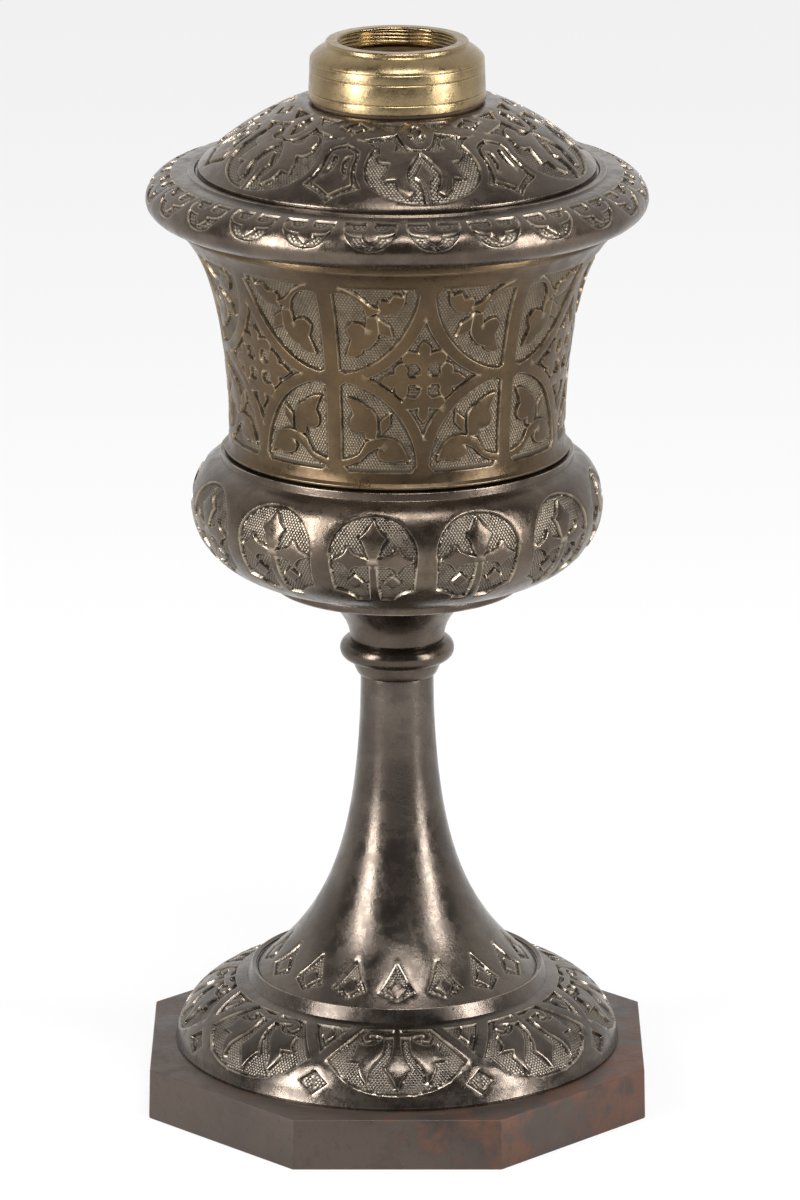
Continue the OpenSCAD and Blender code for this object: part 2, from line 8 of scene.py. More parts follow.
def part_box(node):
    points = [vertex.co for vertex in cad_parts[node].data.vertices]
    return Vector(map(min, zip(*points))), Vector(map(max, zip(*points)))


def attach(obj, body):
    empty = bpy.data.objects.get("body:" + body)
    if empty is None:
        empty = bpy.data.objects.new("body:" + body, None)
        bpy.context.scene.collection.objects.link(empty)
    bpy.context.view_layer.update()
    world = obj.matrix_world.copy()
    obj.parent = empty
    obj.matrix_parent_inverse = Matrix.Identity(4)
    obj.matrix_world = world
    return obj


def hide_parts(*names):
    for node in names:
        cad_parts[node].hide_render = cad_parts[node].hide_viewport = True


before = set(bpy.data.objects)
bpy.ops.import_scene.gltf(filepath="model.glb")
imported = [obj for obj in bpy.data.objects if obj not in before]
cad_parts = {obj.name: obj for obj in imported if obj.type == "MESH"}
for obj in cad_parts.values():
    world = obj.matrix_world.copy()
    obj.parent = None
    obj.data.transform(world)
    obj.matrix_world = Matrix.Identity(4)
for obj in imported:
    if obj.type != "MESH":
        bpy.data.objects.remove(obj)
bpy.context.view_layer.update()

# The studio. A long lens looks down on the lamp from the front, as in the photograph.
# The table and the room behind it are white, and two tall soft boxes stand left and right.
MM = 0.001
CAMERA_TILT = 16.32
camera_data = bpy.data.cameras.new("camera")
camera_data.sensor_width = 36
camera_data.lens = 217.0
camera_data.shift_x = 0.0024
camera_data.clip_end = 30
camera = bpy.data.objects.new("camera", camera_data)
camera.location = (0, -1.869, 0.6854)
camera.rotation_euler = (math.radians(90 - CAMERA_TILT), 0, 0)
bpy.context.scene.collection.objects.link(camera)
bpy.context.scene.camera = camera
bpy.context.scene.view_settings.view_transform = "Standard"


def add_node(tree, kind, inputs=(), **settings):
    """Adds a shader or geometry node. An input is a value or another node's output."""
    made = tree.nodes.new(kind)
    for key, value in settings.items():
        setattr(made, key, value)
    for key, value in dict(inputs).items():
        if isinstance(value, bpy.types.NodeSocket):
            tree.links.new(value, made.inputs[key])
        else:
            made.inputs[key].default_value = value
    return made


def seen_or_mirrored(tree):
    """1 for rays from the lens, off metal and through glass, and 0 for light on the lamp."""
    ray = add_node(tree, "ShaderNodeLightPath").outputs
    shiny = add_node(tree, "ShaderNodeMath", {0: ray["Is Glossy Ray"], 1: ray["Is Transmission Ray"]},
                     operation="MAXIMUM")
    return add_node(tree, "ShaderNodeMath", {0: ray["Is Camera Ray"], 1: shiny.outputs[0]},
                    operation="MAXIMUM").outputs[0], ray


ROOM_LIGHT = 0.45
ROOM_DARK = (0.10, 0.10, 0.105, 1)
world = bpy.data.worlds.new("room")
bpy.context.scene.world = world
world.use_nodes = True
room = world.node_tree
room.nodes.clear()
seen, ray = seen_or_mirrored(room)
direction = add_node(room, "ShaderNodeSeparateXYZ",
                     {0: add_node(room, "ShaderNodeTexCoord").outputs["Generated"]}).outputs
behind = add_node(room, "ShaderNodeMapRange", {"Value": direction["Y"], "From Min": -0.25, "From Max": 0.55},
                  interpolation_type="SMOOTHSTEP").outputs[0]
seen_room = add_node(room, "ShaderNodeMix", {0: behind, 6: ROOM_DARK, 7: (1, 1, 1, 1)}, data_type="RGBA").outputs[2]
straight = add_node(room, "ShaderNodeMix", {0: ray["Is Camera Ray"], 6: seen_room, 7: (1, 1, 1, 1)},
                    data_type="RGBA").outputs[2]
lit = add_node(room, "ShaderNodeBackground", {"Color": (1, 1, 1, 1), "Strength": ROOM_LIGHT})
shown = add_node(room, "ShaderNodeBackground", {"Color": straight, "Strength": 1.0})
either = add_node(room, "ShaderNodeMixShader", {0: seen, 1: lit.outputs[0], 2: shown.outputs[0]})
add_node(room, "ShaderNodeOutputWorld", {0: either.outputs[0]})

FLOOR_SIDE = 4.0
FLOOR_WHITE = (0.86, 0.86, 0.86, 1)
FLOOR_GLOW = 0.72
floor_mesh = bpy.data.meshes.new("table_top")
half = FLOOR_SIDE / 2
floor_mesh.from_pydata([(-half, -half, 0), (half, -half, 0), (half, half, 0), (-half, half, 0)], [], [(0, 1, 2, 3)])
floor = bpy.data.objects.new("table_top", floor_mesh)
bpy.context.scene.collection.objects.link(floor)
pale = bpy.data.materials.new("pale_table")
pale.use_nodes = True
tree = pale.node_tree
tree.nodes.clear()
seen, ray = seen_or_mirrored(tree)
share = add_node(tree, "ShaderNodeMath", {0: seen, 1: FLOOR_GLOW}, operation="MULTIPLY")
matt = add_node(tree, "ShaderNodeBsdfDiffuse", {"Color": FLOOR_WHITE})
glow = add_node(tree, "ShaderNodeEmission", {"Color": (1, 1, 1, 1), "Strength": 1.0})
both = add_node(tree, "ShaderNodeMixShader", {0: share.outputs[0], 1: matt.outputs[0], 2: glow.outputs[0]})
add_node(tree, "ShaderNodeOutputMaterial", {0: both.outputs[0]})
floor_mesh.materials.append(pale)


def soft_box(name, place, aim, width, height, watts):
    """A rectangular lamp at a place, turned to shine on a point."""
    data = bpy.data.lights.new(name, "AREA")
    data.shape = "RECTANGLE"
    data.size, data.size_y, data.energy = width, height, watts
    lamp = bpy.data.objects.new(name, data)
    lamp.location = place
    lamp.rotation_euler = (Vector(place) - Vector(aim)).to_track_quat("Z", "Y").to_euler()
    bpy.context.scene.collection.objects.link(lamp)


LAMP_MIDDLE = (0, 0, 0.16)
soft_box("left_box", (-1.05, -0.75, 0.62), LAMP_MIDDLE, 0.34, 1.10, 24)
soft_box("right_box", (1.10, -0.62, 0.55), LAMP_MIDDLE, 0.24, 1.10, 17)
soft_box("top_box", (0.15, -0.55, 1.35), LAMP_MIDDLE, 0.60, 0.35, 9)


# The plinth: an octagonal iron casting, open underneath, with a brown patina and patches of rust.
# Its edges are rounded. It stands on its rim.
def metal(name, skin, mottle, deep, rub_and_highlight, rough=0.42, metallic=0.9, cloud=38.0, grain=0.12, speck=0.35,
          tone=0.5, rust=None):
    """Old cast metal: a skin with darker clouds and specks, deep places of their own colour, and rubbed edges whose
    colour is also a painted highlight.

    Where a mesh has them, the ground attribute says how deep each point is, and the other attribute how much rubbed
    colour it takes, which is both wear and a painted highlight.
    """
    made = bpy.data.materials.new(name)
    made.use_nodes = True
    tree = made.node_tree
    tree.nodes.clear()

    def noise(scale, detail, roughness=0.6):
        return add_node(tree, "ShaderNodeTexNoise", {"Vector": place, "Scale": scale, "Detail": detail,
                                                     "Roughness": roughness}).outputs["Fac"]

    def ranged(value, low, high, to_low=0.0, to_high=1.0):
        return add_node(tree, "ShaderNodeMapRange", {"Value": value, "From Min": low, "From Max": high,
                                                     "To Min": to_low, "To Max": to_high},
                        interpolation_type="SMOOTHSTEP").outputs[0]

    def times(a, b):
        return add_node(tree, "ShaderNodeMath", {0: a, 1: b}, operation="MULTIPLY").outputs[0]

    def plus(a, b):
        return add_node(tree, "ShaderNodeMath", {0: a, 1: b}, operation="ADD").outputs[0]

    def blended(share, a, b):
        return add_node(tree, "ShaderNodeMix", {0: share, 6: a, 7: b}, data_type="RGBA").outputs[2]

    def painted(attribute):
        return add_node(tree, "ShaderNodeAttribute", attribute_name=attribute).outputs["Fac"]

    place = add_node(tree, "ShaderNodeTexCoord").outputs["Object"]
    clouds = noise(cloud, 7)
    blotches = noise(cloud * 5, 6, 0.7)
    specks = noise(cloud * 26, 4, 0.7)
    grains = noise(cloud * 90, 2)
    ground, rub_highlight = painted("ground"), painted("rub_and_highlight")
    colour = blended(ranged(clouds, tone - 0.12, tone + 0.14), (*skin, 1), (*mottle, 1))
    colour = blended(times(ranged(blotches, 0.52, 0.66), 0.55), colour, (*mottle, 1))
    if rust:
        colour = blended(ranged(plus(times(blotches, 0.45), times(clouds, 0.6)), 0.52, 0.62), colour, (*rust, 1))
    colour = blended(times(ranged(specks, 0.56, 0.70), speck), colour, (*deep, 1))
    colour = blended(ground, colour, (*deep, 1))
    # Rubbed colour where the mesh asks for it: worn metal, and also a painted highlight on edges and punch-mark tops.
    rubbed_highlight_share = times(rub_highlight, ranged(blotches, 0.36, 0.58, 0.12, 0.7))
    colour = blended(rubbed_highlight_share, colour, (*rub_and_highlight, 1))
    roughness = plus(ranged(blotches, 0.35, 0.65, rough - 0.06, rough + 0.10), times(ground, 0.10))
    relief = plus(times(specks, 0.7), times(grains, 0.3))
    bump = add_node(tree, "ShaderNodeBump", {"Height": relief, "Strength": grain, "Distance": 0.0006})
    shader = add_node(tree, "ShaderNodeBsdfPrincipled", {"Base Color": colour, "Metallic": metallic,
                                                         "Roughness": roughness, "Normal": bump.outputs[0]})
    add_node(tree, "ShaderNodeOutputMaterial", {0: shader.outputs[0]})
    return made


def dressed(piece, body, slot, *nodes):
    """Lets a finished piece ride on its body and stand for its nodes."""
    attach(piece, body)
    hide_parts(*nodes)
    return piece


def shaded(mesh, angle=38):
    mesh.shade_smooth()
    mesh.set_sharp_from_angle(angle=math.radians(angle))


def eased(node, width, steps, name, material):
    """A copy of a node with its flat faces joined and its edges rounded."""
    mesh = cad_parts[node].data.copy()
    mesh.materials.clear()
    mesh.materials.append(material)
    piece = bpy.data.objects.new(name, mesh)
    bpy.context.scene.collection.objects.link(piece)
    weld = piece.modifiers.new("weld", "WELD")
    weld.merge_threshold = 0.002 * MM
    joined = piece.modifiers.new("flat faces", "DECIMATE")
    joined.decimate_type = "DISSOLVE"
    joined.angle_limit = math.radians(1.5)
    edge = piece.modifiers.new("edges", "BEVEL")
    edge.width, edge.segments, edge.limit_method = width * MM, steps, "ANGLE"
    edge.angle_limit = math.radians(30)
    edge.use_clamp_overlap = True
    return baked(piece)


def baked(piece):
    """The object with its modifiers worked into its mesh."""
    mesh = bpy.data.meshes.new_from_object(piece.evaluated_get(bpy.context.evaluated_depsgraph_get()))
    piece.modifiers.clear()
    piece.data = mesh
    shaded(mesh)
    return piece


iron = metal("plinth_iron", (0.078, 0.058, 0.047), (0.050, 0.040, 0.035), (0.028, 0.023, 0.021),
             (0.42, 0.30, 0.20), rough=0.44, metallic=0.6, cloud=20, grain=0.35, rust=(0.105, 0.052, 0.034))
dressed(eased("plinth", 0.45, 3, "octagonal_plinth", iron), "stand", "plinth_iron", "plinth")

# The iron rod with its two nuts and washers. It draws the plinth, foot, stem, knop, neck, plate and
# bowl together, and shows only from below and through the open urn.
dull_iron = metal("rod_iron", (0.16, 0.15, 0.14), (0.10, 0.09, 0.085), (0.05, 0.045, 0.04), (0.40, 0.38, 0.35),
                  rough=0.45, metallic=0.85, grain=0.3, rust=(0.16, 0.08, 0.045))
for node, name in (("lower_nut", "lower_rod_nut"), ("upper_nut", "upper_rod_nut")):
    dressed(eased(node, 0.15, 2, name, dull_iron), "stand", "rod_iron", node)


def rounded(outline, radius=0.2, steps=3, closed=True):
    """An outline of (radius, height) points, outside upwards, with its corners turned to small arcs.

    Gives the points and how much rubbed colour each one takes, both wear and painted highlight: the outward corners
    take it, and nothing else.
    """
    corners = [Vector(p) for p in outline]
    points, rub_and_highlight = [], []
    for k, here in enumerate(corners):
        if not closed and k in (0, len(corners) - 1):
            points.append(here[:])
            rub_and_highlight.append(0.0)
            continue
        back, ahead = corners[k - 1] - here, corners[(k + 1) % len(corners)] - here
        if back.length < 1e-6 or ahead.length < 1e-6:
            continue
        turn = math.pi - back.angle(ahead)
        if turn < math.radians(16) or here.x < 1e-6:
            points.append(here[:])
            rub_and_highlight.append(0.0)
            continue
        reach = min(radius * math.tan(turn / 2), 0.45 * back.length, 0.45 * ahead.length)
        start, end = here + back.normalized() * reach, here + ahead.normalized() * reach
        outward = (-back.x) * ahead.y + back.y * ahead.x > 0
        for i in range(steps + 1):
            t = i / steps
            points.append((start * (1 - t) ** 2 + here * (2 * t * (1 - t)) + end * t ** 2)[:])
            # Outward arcs take the rubbed colour: a painted highlight along the edge as well as wear.
            rub_and_highlight.append(1.0 if outward and 0 < i < steps else 0.0)
    return points, rub_and_highlight


def turned(name, outline, material, columns=160, radius=0.2, thread=None):
    """A turned piece: its outline swept round the lamp's axis, with a thread cut where one is given."""
    points, rub_and_highlight = rounded(outline, radius)
    line = np.array(points)
    angle = np.arange(columns) * 2 * math.pi / columns
    r, z = line[:, :1], line[:, 1:]
    if thread:
        r = thread(r, z, angle)
    places = np.stack([r * np.sin(angle), -r * np.cos(angle), np.broadcast_to(z, (len(line), columns))], 2)
    faces = []
    for i in range(len(line)):
        low, high = i * columns, (i + 1) % len(line) * columns
        if line[i][0] < 1e-6 and line[(i + 1) % len(line)][0] < 1e-6:
            continue
        for k in range(columns):
            n = (k + 1) % columns
            faces.append((low + k, low + n, high + n, high + k))
    mesh = bpy.data.meshes.new(name)
    mesh.from_pydata((places.reshape(-1, 3) * MM).tolist(), [], faces)
    # The rubbed colour on the outward corners: wear, and a painted highlight on the edges.
    rub_highlight = mesh.attributes.new("rub_and_highlight", "FLOAT", "POINT")
    rub_highlight.data.foreach_set("value", np.repeat(np.array(rub_and_highlight, np.float32), columns))
    mesh.materials.append(material)
    piece = bpy.data.objects.new(name, mesh)
    bpy.context.scene.collection.objects.link(piece)
    weld = piece.modifiers.new("poles", "WELD")
    weld.merge_threshold = 0.001 * MM
    return baked(piece)


def bottom(node):
    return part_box(node)[0].z / MM


def top(node):
    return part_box(node)[1].z / MM


def reach(node):
    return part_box(node)[1].x / MM


def ring_outline(r_in, r_out, low, high):
    return [(r_out, low), (r_out, high), (r_in, high), (r_in, low)]


ROD_SLIP = 0.1
rod_r = reach("tie_rod")
dressed(turned("tie_rod_bar", [(0, bottom("tie_rod")), (rod_r, bottom("tie_rod")), (rod_r, top("tie_rod")),
                               (0, top("tie_rod"))], dull_iron, 48, 0.4), "stand", "rod_iron", "tie_rod")
for node in ("lower_washer", "upper_washer"):
    outline = ring_outline(rod_r + ROD_SLIP, reach(node), bottom(node), top(node))
    dressed(turned(node + "_disc", outline, dull_iron, 96, 0.25), "stand", "rod_iron", node)


# The foot: a domed bronze casting with a raised ring round the stem. Eight fan-shaped medallions are
# chased into it, each with a three-petalled palmette, on a ground struck all over with a small punch.
def quarter(r0, z0, a, b, start, end, count=40):
    """Part of an ellipse about (r0, z0), between two angles in degrees."""
    angle = np.radians(np.linspace(start, end, count))
    return list(zip(r0 + a * np.cos(angle), z0 + b * np.sin(angle)))


def chart(points, heights=False):
    """Lets a carved skin be addressed by the way along its outline, or by its height."""
    line = np.array(points, float)
    along = line[:, 1] if heights else np.concatenate([[0], np.cumsum(np.hypot(*np.diff(line, axis=0).T))])
    slope = np.gradient(line, along, axis=0)

    def at(v):
        r, z, dr, dz = (np.interp(v, along, column) for column in (*line.T, *slope.T))
        size = np.hypot(dr, dz)
        return r, z, dz / size, -dr / size

    return at, along[0], along[-1]


def spline(points, per=5):
    """A smooth line through the points, or a straight one between two."""
    p = np.array(points, float)
    if len(p) == 2:
        count = max(1, int(np.linalg.norm(p[1] - p[0]) / 0.55))
        return p[0] + (p[1] - p[0]) * np.linspace(0, 1, count + 1)[:, None]
    ends = np.vstack([2 * p[0] - p[1], p, 2 * p[-1] - p[-2]])
    out = []
    for a, b, c, d in zip(ends, ends[1:], ends[2:], ends[3:]):
        for t in np.arange(per) / per:
            out.append(0.5 * (2 * b + (c - a) * t + (2 * a - 5 * b + 4 * c - d) * t ** 2
                              + (3 * b - a - 3 * c + d) * t ** 3))
    return np.array(out + [p[-1]])


def loop(*strokes):
    """A closed outline made of smooth strokes that meet at corners."""
    return np.vstack([spline(stroke)[:-1] for stroke in strokes])


def flip(points):
    return [(-u, v) for u, v in reversed(points)]


def both_sides(*strokes):
    """A closed outline from the strokes of its right half, which start and end on its middle line."""
    return loop(*strokes, *[flip(stroke) for stroke in reversed(strokes)])


def mirrored(outline):
    return outline[::-1] * (-1, 1)


def moved(outline, du, dv=0.0):
    return outline + (du, dv)


def within(points, loops):
    """Which of the points lie inside any of the loops."""
    hit = np.zeros(len(points), bool)
    for a in loops:
        b = np.roll(a, -1, 0)
        near = np.flatnonzero(np.all((points >= a.min(0)) & (points <= a.max(0)), 1))
        if not len(near):
            continue
        u, v = points[near, 0, None], points[near, 1, None]
        rise = np.where(b[:, 1] == a[:, 1], 1e-12, b[:, 1] - a[:, 1])
        crossing = a[:, 0] + (v - a[:, 1]) * (b[:, 0] - a[:, 0]) / rise
        hit[near] |= (((a[:, 1] > v) != (b[:, 1] > v)) & (u < crossing)).sum(1) % 2 == 1
    return hit


def distance(points, segments):
    """How far each point lies from the nearest segment."""
    a, run = segments[:, 0], segments[:, 1] - segments[:, 0]
    length2 = (run ** 2).sum(1)
    best = np.empty(len(points))
    for first in range(0, len(points), 400):
        gap = points[first:first + 400, None] - a
        t = np.clip((gap * run).sum(2) / length2, 0, 1)
        gap -= t[..., None] * run
        best[first:first + 400] = np.sqrt((gap ** 2).sum(2).min(1))
    return best


def round_the_axis():
    """The node tree that repeats a carved sector round the lamp and closes its seams."""
    tree = bpy.data.node_groups.new("round the axis", "GeometryNodeTree")
    for name, way, kind in (("Sector", "INPUT", "Geometry"), ("Copies", "INPUT", "Int"),
                            ("Seam", "INPUT", "Float"), ("Finish", "INPUT", "Material"),
                            ("Ring", "OUTPUT", "Geometry")):
        tree.interface.new_socket(name, in_out=way, socket_type="NodeSocket" + kind)
    given = add_node(tree, "NodeGroupInput").outputs
    single = add_node(tree, "GeometryNodeGeometryToInstance", {0: given["Sector"]})
    copies = add_node(tree, "GeometryNodeDuplicateElements",
                      {"Geometry": single.outputs[0], "Amount": given["Copies"]}, domain="INSTANCE")
    step = add_node(tree, "ShaderNodeMath", {0: 2 * math.pi, 1: given["Copies"]}, operation="DIVIDE")
    angle = add_node(tree, "ShaderNodeMath", {0: copies.outputs["Duplicate Index"], 1: step.outputs[0]},
                     operation="MULTIPLY")
    turn = add_node(tree, "ShaderNodeCombineXYZ", {"Z": angle.outputs[0]})
    placed = add_node(tree, "GeometryNodeRotateInstances",
                      {"Instances": copies.outputs[0], "Rotation": turn.outputs[0]})
    real = add_node(tree, "GeometryNodeRealizeInstances", {0: placed.outputs[0]})
    welded = add_node(tree, "GeometryNodeMergeByDistance", {"Geometry": real.outputs[0],
                                                            "Distance": given["Seam"]})
    finished = add_node(tree, "GeometryNodeSetMaterial", {"Geometry": welded.outputs[0],
                                                          "Material": given["Finish"]})
    add_node(tree, "NodeGroupOutput", {0: finished.outputs[0]})
    return tree


AXIS_TREE = round_the_axis()
PUNCH = 0.84


def carved(name, skin, low, high, ref, copies, turn, cuts, raised, slots, outline, material,
           depth=0.8, wall=0.34, punch=PUNCH, bump=0.24, ease=0.2, columns=24, radius=0.2):
    """A turned casting whose skin is chased with a pattern that repeats round it.

    The pattern lies in a flat chart: u runs to the right, in millimetres at the radius ref, and v runs
    up the skin from low to high. The metal is sunk inside the cuts, stands in the raised outlines and
    is sunk again in the slots. The outline is the rest of the section, from high round to low.
    """
    side = math.pi * ref / copies

    def sunk(points):
        return (within(points, cuts) & ~within(points, raised)) | within(points, slots)

    # The outlines are cut where they cross, and only what parts high metal from low is kept
    points, edges = [], []
    for line in (*cuts, *raised, *slots):
        first = len(points)
        points += [Vector(p) for p in line]
        edges += [(first + k, first + (k + 1) % len(line)) for k in range(len(line))]
    for u in (-side, side):
        edges.append((len(points), len(points) + 1))
        points += [Vector((u, low - 9)), Vector((u, high + 9))]
    found, lines, _, _, origins, _ = geometry.delaunay_2d_cdt(points, edges, [], 0, 1e-5)
    knots = np.array([p[:] for p in found])
    lines = np.array([e for e, origin in zip(lines, origins) if origin])
    a, b = knots[lines[:, 0]], knots[lines[:, 1]]
    across = (b - a)[:, ::-1] * (-1, 1)
    length = np.linalg.norm(across, axis=1)
    keep = length > 1e-6
    lines, a, b = lines[keep], a[keep], b[keep]
    across = across[keep] / length[keep, None]
    left, right = sunk((a + b) / 2 + across * 0.01), sunk((a + b) / 2 - across * 0.01)
    lines, across = lines[left != right], np.where(left[:, None], across, -across)[left != right]
    segments = np.stack([knots[lines[:, 0]], knots[lines[:, 1]]], 1)

    # Each knot looks towards the sunk side, and its neighbours at the foot and top of the wall follow
    facing = np.zeros_like(knots)
    np.add.at(facing, lines[:, 0], across)
    np.add.at(facing, lines[:, 1], across)
    used = np.unique(lines)
    size = np.linalg.norm(facing[used], axis=1)
    used, size = used[size > 0.2], size[size > 0.2]
    facing = facing[used] / np.maximum(size, 1.0)[:, None] ** 2 * np.minimum(size, 2)[:, None]
    foot, brink = knots[used] + facing * wall, knots[used] - facing * ease
    foot = foot[sunk(foot) & (distance(foot, segments) > 0.85 * wall)]
    brink = brink[~sunk(brink) & (distance(brink, segments) > 0.85 * ease)]

    def lattice(pitch, shift_u=0.0, shift_v=0.0):
        row = pitch * math.sqrt(3) / 2
        i, j = np.meshgrid(np.arange(-side - pitch, side + pitch, pitch), np.arange(low, high, row))
        odd = np.arange(j.shape[0])[:, None] % 2 * pitch / 2
        return np.stack([i + odd + shift_u, j + shift_v], 2).reshape(-1, 2)

    def clear(points, gap):
        inner = (abs(points[:, 0]) < side - 0.3) & (points[:, 1] > low + 0.3) & (points[:, 1] < high - 0.3)
        points = points[inner]
        return points[distance(points, segments) > gap]

    peaks = clear(lattice(punch), wall + 0.16)
    dips = clear(np.vstack([lattice(punch, punch / 2, k * punch / math.sqrt(12)) for k in (1, -1)]), wall + 0.14)
    plain = clear(lattice(1.7), ease + 0.35)
    peaks, dips, plain = peaks[sunk(peaks)], dips[sunk(dips)], plain[~sunk(plain)]

    # The sector's own edge, the same on its left and its right
    rows = np.linspace(low, high, max(2, round((high - low) / 1.3)) + 1)
    crossing = np.unique(np.round(knots[used][abs(knots[used][:, 0] - side) < 1e-4][:, 1], 4))
    rows = np.array([v for v in rows if not len(crossing) or abs(crossing - v).min() > 0.4])
    rows = np.union1d(rows, crossing[(crossing > low) & (crossing < high)])
    cols = np.linspace(-side, side, columns + 1)
    edge = [(u, v) for u in (-side, side) for v in rows] + [(u, v) for u in cols[1:-1] for v in (low, high)]

    inner = [p for p in (*foot, *brink) if abs(p[0]) < side - 0.15]
    in_sector = np.all(abs(segments[:, :, 0]) < side + 1e-4, 1)
    lines = lines[in_sector]
    named, again = np.unique(lines, return_inverse=True)
    points = [*knots[named], *edge, *inner, *peaks, *dips, *plain]
    first_peak = len(named) + len(edge) + len(inner)
    found, _, faces, origins, _, _ = geometry.delaunay_2d_cdt(
        [Vector(p) for p in points], again.reshape(-1, 2).tolist(), [], 0, 1e-5)
    flat = np.array([p[:] for p in found])
    flat[abs(flat[:, 0] - side) < 1e-4, 0] = side
    flat[abs(flat[:, 0] + side) < 1e-4, 0] = -side

    gap, deep = distance(flat, segments), sunk(flat)
    on_line = gap < 1e-3
    deep &= ~on_line
    crown = 0.06
    height = np.where(deep, -crown - (depth - crown) * np.minimum(1, gap / wall),
                      -crown * np.maximum(0, 1 - gap / ease))
    is_peak = np.array([any(first_peak <= k < first_peak + len(peaks) for k in origin) for origin in origins])
    height[is_peak] += bump
    r, z, nr, nz = skin(flat[:, 1])
    r, z = r + nr * height, z + nz * height
    angle = flat[:, 0] / ref + math.radians(turn)
    places = np.stack([r * np.sin(angle), -r * np.cos(angle), z], 1)
    ground = np.where(deep, np.minimum(1, gap / wall), 0.0)
    # The tops of the punch marks are painted light, with less of the deep colour and most of the rubbed one: a painted
    # highlight on each.
    ground[is_peak] = 0.25
    # The outlines of the raised metal take the full rubbed colour: rubbed edges, also drawn as a painted highlight.
    rub_and_highlight = np.where(on_line, 1.0, 0.0)
    rub_and_highlight[is_peak] = 0.8

    # The rest of the section, on the same columns
    points, rub_highlight = rounded(outline, radius, closed=False)
    line = np.array(points)
    first, angle = len(places), cols / ref + math.radians(turn)
    grid = np.stack([line[:, :1] * np.sin(angle), -line[:, :1] * np.cos(angle),
                     np.broadcast_to(line[:, 1:], (len(line), len(cols)))], 2)
    faces = [tuple(face) for face in faces]
    for i in range(len(line) - 1):
        for k in range(len(cols) - 1):
            at = first + i * len(cols) + k
            faces.append((at, at + 1, at + 1 + len(cols), at + len(cols)))
    mesh = bpy.data.meshes.new(name)
    mesh.from_pydata((np.vstack([places, grid.reshape(-1, 3)]) * MM).tolist(), [], faces)
    for key, values in (("ground", ground), ("rub_and_highlight", rub_and_highlight)):
        rest = np.repeat(rub_highlight if key == "rub_and_highlight" else np.zeros(len(line)), len(cols))
        layer = mesh.attributes.new(key, "FLOAT", "POINT")
        layer.data.foreach_set("value", np.concatenate([values, rest]).astype(np.float32))
    piece = bpy.data.objects.new(name, mesh)
    bpy.context.scene.collection.objects.link(piece)
    ring = piece.modifiers.new("round the axis", "NODES")
    ring.node_group = AXIS_TREE
    values = {"Copies": copies, "Seam": 0.002 * MM, "Finish": material}
    for socket in AXIS_TREE.interface.items_tree:
        if socket.name in values:
            ring[socket.identifier] = values[socket.name]
    return baked(piece)


def polygon(*corners):
    return loop(*zip(corners, corners[1:] + corners[:1]))


def diamond(u, v, wide, high):
    return polygon((u - wide, v), (u, v + high), (u + wide, v), (u, v - high))


def with_mirror(*outlines):
    return [*outlines, *[mirrored(outline) for outline in outlines]]


def at_seams(seam, *outlines):
    """Outlines drawn about u = 0, set on both edges of the sector, where it meets its neighbours."""
    return [moved(outline, du) for outline in outlines for du in (-seam, seam)]


# Each bronze's last colour is its rubbed colour. Edges and punch-mark tops take it as wear and as a painted highlight.
black_bronze = metal("foot_bronze", (0.125, 0.103, 0.085), (0.070, 0.057, 0.048), (0.062, 0.053, 0.045),
                     (0.46, 0.39, 0.31), rough=0.25, metallic=0.95)
FOOT_REF, FOOT_COPIES = 52, 8
FOOT_SEAM = math.pi * FOOT_REF / FOOT_COPIES
foot_dome = quarter(34.8, 14.9, 25.4, 17.6, 4, 75.87, 60)
foot_skin, foot_low, foot_high = chart(foot_dome)
fan = both_sides([(0, 1.8), (6, 2.4), (12, 4.8), (18.4, 10.8)], [(18.4, 10.8), (10.7, 23.2)],
                 [(10.7, 23.2), (0, 23.4)])
middle_petal = both_sides([(0, 24.4), (0.9, 24.4)], [(0.9, 24.4), (0.9, 21.6)], [(0.9, 21.6), (1.1, 19), (1, 17)],
                          [(1, 17), (1.6, 13), (3.1, 9.6)], [(3.1, 9.6), (1.1, 6.5), (0, 3.9)])
side_petal = loop([(4, 20), (3.6, 17), (4.2, 14), (6, 11), (7.2, 8.5), (7.4, 4.9)],
                  [(7.4, 4.9), (9, 7.5), (9.6, 10), (9, 11.6)], [(9, 11.6), (12.7, 11.8)],
                  [(12.7, 11.8), (11.4, 13.5), (11.2, 17)], [(11.2, 17), (8, 16.6), (5.4, 17.8), (4, 20)])
petal_scroll = loop([(0.5, 22), (3, 21.7), (6.5, 22.5), (8.8, 21.9), (10.1, 20), (8.8, 18.2), (7, 18.8)],
                    [(7, 18.8), (7.9, 19.6), (8.2, 20.6), (6.6, 20.9), (3, 20), (0.5, 20.4)],
                    [(0.5, 20.4), (0.5, 22)])
foot_rest = [foot_dome[-1], (39.6, 35.5), (38.5, 35.1), (38.5, 34.5), (34, 34.5),
             *quarter(34, 14, 22.1, 15.8, 90, 0, 24), (60.6, 14), (60.6, 14.9), foot_dome[0]]
dressed(carved("chased_foot", foot_skin, foot_low, foot_high, FOOT_REF, FOOT_COPIES, 0,
               [fan, *at_seams(FOOT_SEAM, diamond(0, 4.3, 3.9, 3.6), polygon((-5.75, 23.2), (5.75, 23.2), (0, 13)))],
               [middle_petal, *with_mirror(side_petal, petal_scroll), *at_seams(FOOT_SEAM, diamond(0, 19.4, 1.7, 2.6))],
               [], foot_rest, black_bronze), "stand", "foot_bronze", "foot")


# The stem: a hollow trumpet of the same bronze. It stands in the foot's ring, and sixteen kite-shaped
# panels with a square boss in each are chased round its foot.
def trumpet(t):
    """The stem's outline, from t = 0 at its top to t = 1 at its foot."""
    return 9.85 + 28.35 * (0.45 * t ** 2 + 0.55 * t ** 5), 34.5 + 83.6 * (1 - t)


